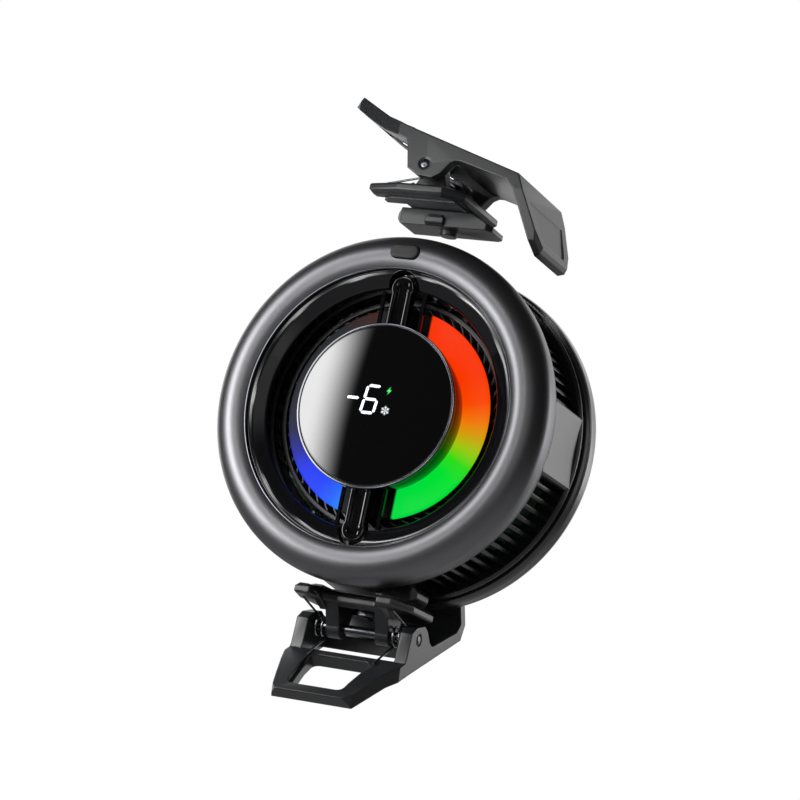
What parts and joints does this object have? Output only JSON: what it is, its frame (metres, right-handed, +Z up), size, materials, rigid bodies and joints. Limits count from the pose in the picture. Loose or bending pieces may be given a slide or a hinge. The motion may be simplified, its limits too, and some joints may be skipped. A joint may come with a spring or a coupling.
{
  "type": "phone cooling fan",
  "caption": "Round clip-on cooling fan for the back of a phone, with a lit display, a louvered waist, a cold rear face and sprung clips with swivelling jaws.",
  "frame": {"origin": "centre of the soft cold face that lies against the back of the phone", "axes": "+Y out of the cold face into the phone, so the display looks along -Y; +Z up towards the power button; +X to the right when the display is read"},
  "size_m": [0.07, 0.0417, 0.1238],
  "materials": {
    "gunmetal_gloss": "glossy dark gunmetal lacquer over moulded plastic",
    "bright_trim": "thin bright plated line",
    "piano_black": "piano black polished plastic",
    "display_glass": "black tinted cover glass, opaque but for the digits",
    "circuit_board": "green solder mask on glass fibre board",
    "light_diffuser": "milky diffuser that glows in all colours",
    "steel": "plain turned steel",
    "copper": "lacquered copper winding wire",
    "black_plastic": "matte black moulded plastic",
    "aluminium": "milled aluminium",
    "ceramic_white": "white alumina plates",
    "foam_black": "closed cell foam",
    "silicone_pad": "soft grey silicone",
    "satin_grey": "satin grey lacquer",
    "satin_black": "satin dark grey lacquer",
    "port_steel": "drawn stainless shell",
    "switch_black": "black switch body",
    "button_black": "matte dark key top",
    "impeller_black": "black moulded plastic",
    "magnet_grey": "bonded magnet",
    "clip_grey": "matte dark grey glass filled plastic",
    "strip_grey": "lighter grey glide strip",
    "pin_steel": "polished steel pin",
    "clip_rubber": "soft black rubber",
    "spring_steel": "bright spring wire"
  },
  "bodies": {
    "root": {"front_ring": "gunmetal_gloss", "trim_ring": "bright_trim", "bezel": "piano_black", "display_bridge": "piano_black", "display_rim": "bright_trim", "display_glass": "display_glass", "display_board": "circuit_board", "light_ring": "light_diffuser", "light_board": "circuit_board", "motor_bearing": "steel", "stator_core": "steel", "stator_coils": "copper", "fan_frame": "black_plastic", "fan_screws": "steel", "heat_sink": "aluminium", "clamp_screws": "steel", "peltier_module": "ceramic_white", "insulation_ring": "foam_black", "cold_plate": "aluminium", "thermal_pad": "silicone_pad", "waist_grille": "black_plastic", "side_panel_right": "satin_grey", "side_panel_left": "satin_grey", "rear_housing": "satin_black", "rear_screws": "steel", "main_board": "circuit_board", "usb_port": "port_steel", "button_switch": "switch_black", "button_board": "circuit_board", "clip_seat_upper": "black_plastic", "clip_seat_lower": "black_plastic", "lower_foot": "clip_grey", "lower_swivel_screw": "steel"},
    "fan": {"impeller": "impeller_black", "impeller_magnet": "magnet_grey", "motor_shaft": "steel"},
    "button": {"power_button": "button_black"},
    "upper_foot_body": {"upper_foot": "clip_grey", "upper_swivel_screw": "steel"},
    "upper_bracket_body": {"upper_bracket": "clip_grey", "upper_base_pad": "strip_grey", "upper_spring_left": "spring_steel", "upper_spring_right": "spring_steel"},
    "upper_lever_body": {"upper_lever": "clip_grey", "upper_jaw_pad": "clip_rubber", "upper_hinge_pin": "pin_steel"},
    "lower_bracket_body": {"lower_bracket": "clip_grey", "lower_base_pad": "strip_grey", "lower_spring_left": "spring_steel", "lower_spring_right": "spring_steel"},
    "lower_lever_body": {"lower_lever": "clip_grey", "lower_jaw_pad": "clip_rubber", "lower_hinge_pin": "pin_steel"}
  },
  "joints": [
    {"name": "fan_spin", "type": "hinge", "parent": "root", "child": "fan", "pos_m": [0, 0, 0], "axis": [0, 1, 0], "continuous": true},
    {"name": "power_button_press", "type": "slide", "parent": "root", "child": "button", "axis": [0, 1, 0], "range_m": [0, 0.00035], "stiffness_N_per_m": 2000, "springref_m": -0.0005},
    {"name": "upper_clip_lift", "type": "slide", "parent": "root", "child": "upper_foot_body", "axis": [0, 0, 1], "range_m": [-0.0089, 0]},
    {"name": "upper_clip_swivel", "type": "hinge", "parent": "upper_foot_body", "child": "upper_bracket_body", "pos_m": [0, -0.0155, 0], "axis": [0, 0, 1], "range_deg": [0, 90]},
    {"name": "upper_lever_squeeze", "type": "hinge", "parent": "upper_bracket_body", "child": "upper_lever_body", "pos_m": [-0.0025, -0.0155, 0.051], "axis": [0, -1, 0], "range_deg": [0, 35], "stiffness_Nm_per_rad": 0.2, "springref_deg": -28.65, "deforming": ["upper_spring_left", "upper_spring_right"]},
    {"name": "lower_clip_swivel", "type": "hinge", "parent": "root", "child": "lower_bracket_body", "pos_m": [0, -0.0155, 0], "axis": [0, 0, 1], "range_deg": [-12, 12]},
    {"name": "lower_lever_squeeze", "type": "hinge", "parent": "lower_bracket_body", "child": "lower_lever_body", "pos_m": [0, -0.018, -0.0421], "axis": [-1, 0, 0], "range_deg": [0, 35], "stiffness_Nm_per_rad": 0.2, "springref_deg": -28.65, "deforming": ["lower_spring_left", "lower_spring_right"]}
  ]
}
